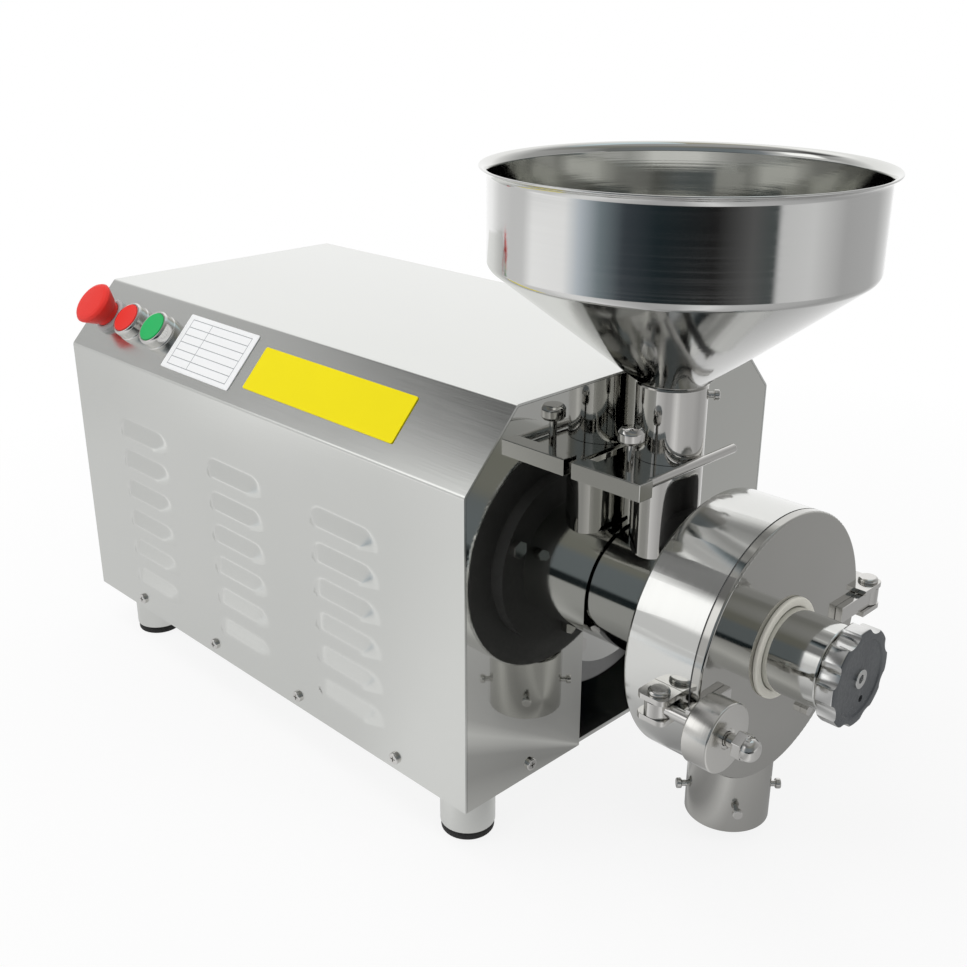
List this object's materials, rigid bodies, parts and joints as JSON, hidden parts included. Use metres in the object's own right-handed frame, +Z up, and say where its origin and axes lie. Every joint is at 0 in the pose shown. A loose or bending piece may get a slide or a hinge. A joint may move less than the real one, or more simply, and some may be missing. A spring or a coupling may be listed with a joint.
{
  "type": "stone mill",
  "caption": "Electric bench mill: louvred steel casing, round hopper over a gated feed tube, and a stone drum with a gap knob, hinged cover, clamp and outlet spout.",
  "frame": {"origin": "middle of the footprint's box, on the floor", "axes": "+X along the shaft from casing to knob, +Z up, controls on the -Y side"},
  "size_m": [0.6452, 0.3114, 0.4159],
  "materials": {
    "casing_steel": "satin stainless sheet",
    "mirror_steel": "mirror-polished stainless",
    "turned_steel": "turned stainless",
    "bright_steel": "bright stainless",
    "knob_steel": "turned stainless with a darker face",
    "shaft_steel": "machined steel",
    "black_rubber": "matt",
    "white_label": "blank plate",
    "yellow_label": "blank plate",
    "red_plastic": "glossy",
    "green_plastic": "glossy",
    "grey_plastic": "satin",
    "black_plastic": "matt",
    "cream_plastic": "satin",
    "motor_paint": "satin paint",
    "cast_shield": "machined casting",
    "core_iron": "stacked sheet",
    "copper": "enamelled wire",
    "capacitor_can": "drawn can",
    "mill_stone": "rough stone"
  },
  "bodies": {
    "casing": {"casing_shell": "casing_steel", "rear_plate": "casing_steel", "feet": "casing_steel", "base_plate": "casing_steel", "front_plate": "mirror_steel", "grinding_drum": "turned_steel", "front_cover": "turned_steel", "hub_tube": "turned_steel", "feed_housing": "turned_steel", "feed_tube": "turned_steel", "outlet_spout": "turned_steel", "cover_straps": "turned_steel", "drum_lugs": "turned_steel", "casing_screws": "bright_steel", "hex_bolts": "bright_steel", "thumb_screws": "bright_steel", "pivot_pins": "bright_steel", "button_bezels": "bright_steel", "motor_bearings": "shaft_steel", "foot_pads": "black_rubber", "shaft_seal": "black_rubber", "cover_gasket": "black_rubber", "data_plate": "white_label", "notice_plate": "yellow_label", "estop_collar": "grey_plastic", "contact_blocks": "black_plastic", "cable_gland": "black_plastic", "contactor": "black_plastic", "hub_ring": "cream_plastic", "motor_frame": "motor_paint", "fan_cowl": "motor_paint", "motor_cradle": "motor_paint", "motor_front_shield": "cast_shield", "motor_rear_shield": "cast_shield", "stator_core": "core_iron", "stator_winding": "copper", "start_capacitor": "capacitor_can"},
    "rotor": {"shaft": "shaft_steel", "rotor_core": "core_iron", "cooling_fan": "black_plastic", "feed_auger": "shaft_steel", "runner_carrier": "shaft_steel", "runner_stone": "mill_stone", "shaft_nut": "shaft_steel"},
    "adjuster": {"stone_carrier": "shaft_steel", "fixed_stone": "mill_stone"},
    "knob": {"adjuster_spindle": "shaft_steel", "adjuster_knob": "knob_steel", "knob_screw": "bright_steel"},
    "gate": {"gate_plate": "turned_steel", "gate_rod": "bright_steel", "gate_knob": "bright_steel"},
    "hopper": {"hopper": "mirror_steel"},
    "clamp": {"swing_bolt": "turned_steel", "cap_nut": "bright_steel"},
    "washer": {"clamp_washer": "turned_steel"},
    "nut": {"hand_nut": "turned_steel"},
    "estop": {"estop_head": "red_plastic"},
    "stop": {"stop_button": "red_plastic"},
    "start": {"start_button": "green_plastic"}
  },
  "joints": [
    {"name": "shaft_spin", "type": "hinge", "parent": "casing", "child": "rotor", "pos_m": [0.3004, 0.00068, 0.141], "axis": [1, 0, 0], "continuous": true},
    {"name": "stone_slide", "type": "slide", "parent": "casing", "child": "adjuster", "axis": [1, 0, 0], "range_m": [-0.00084, 0.00251]},
    {"name": "knob_turn", "type": "hinge", "parent": "adjuster", "child": "knob", "pos_m": [0.3004, 0.00068, 0.141], "axis": [1, 0, 0], "range_deg": [-150, 450]},
    {"name": "gate_slide", "type": "slide", "parent": "casing", "child": "gate", "axis": [0, -1, 0], "range_m": [0, 0.04]},
    {"name": "hopper_lift", "type": "slide", "parent": "casing", "child": "hopper", "axis": [0, 0, 1], "range_m": [0, 0.12]},
    {"name": "clamp_swing", "type": "hinge", "parent": "casing", "child": "clamp", "pos_m": [0.2504, -0.09432, 0.1335], "axis": [0, 0, -1], "range_deg": [0, 100]},
    {"name": "nut_slide", "type": "slide", "parent": "clamp", "child": "washer", "axis": [1, 0, 0], "range_m": [0, 0.00601]},
    {"name": "nut_turn", "type": "hinge", "parent": "washer", "child": "nut", "pos_m": [0.2504, -0.09432, 0.1335], "axis": [1, 0, 0], "range_deg": [0, 1440]},
    {"name": "estop_press", "type": "slide", "parent": "casing", "child": "estop", "axis": [0, 0.7311, -0.6823], "range_m": [0, 0.004]},
    {"name": "stop_press", "type": "slide", "parent": "casing", "child": "stop", "axis": [0, 0.7311, -0.6823], "range_m": [0, 0.003], "stiffness_N_per_m": 800},
    {"name": "start_press", "type": "slide", "parent": "casing", "child": "start", "axis": [0, 0.7311, -0.6823], "range_m": [0, 0.003], "stiffness_N_per_m": 800}
  ],
  "couplings": [
    {"joint": "stone_slide", "follows": "knob_turn", "m_per_rad": 0.00031831},
    {"joint": "nut_slide", "follows": "nut_turn", "m_per_rad": 0.00023873}
  ]
}
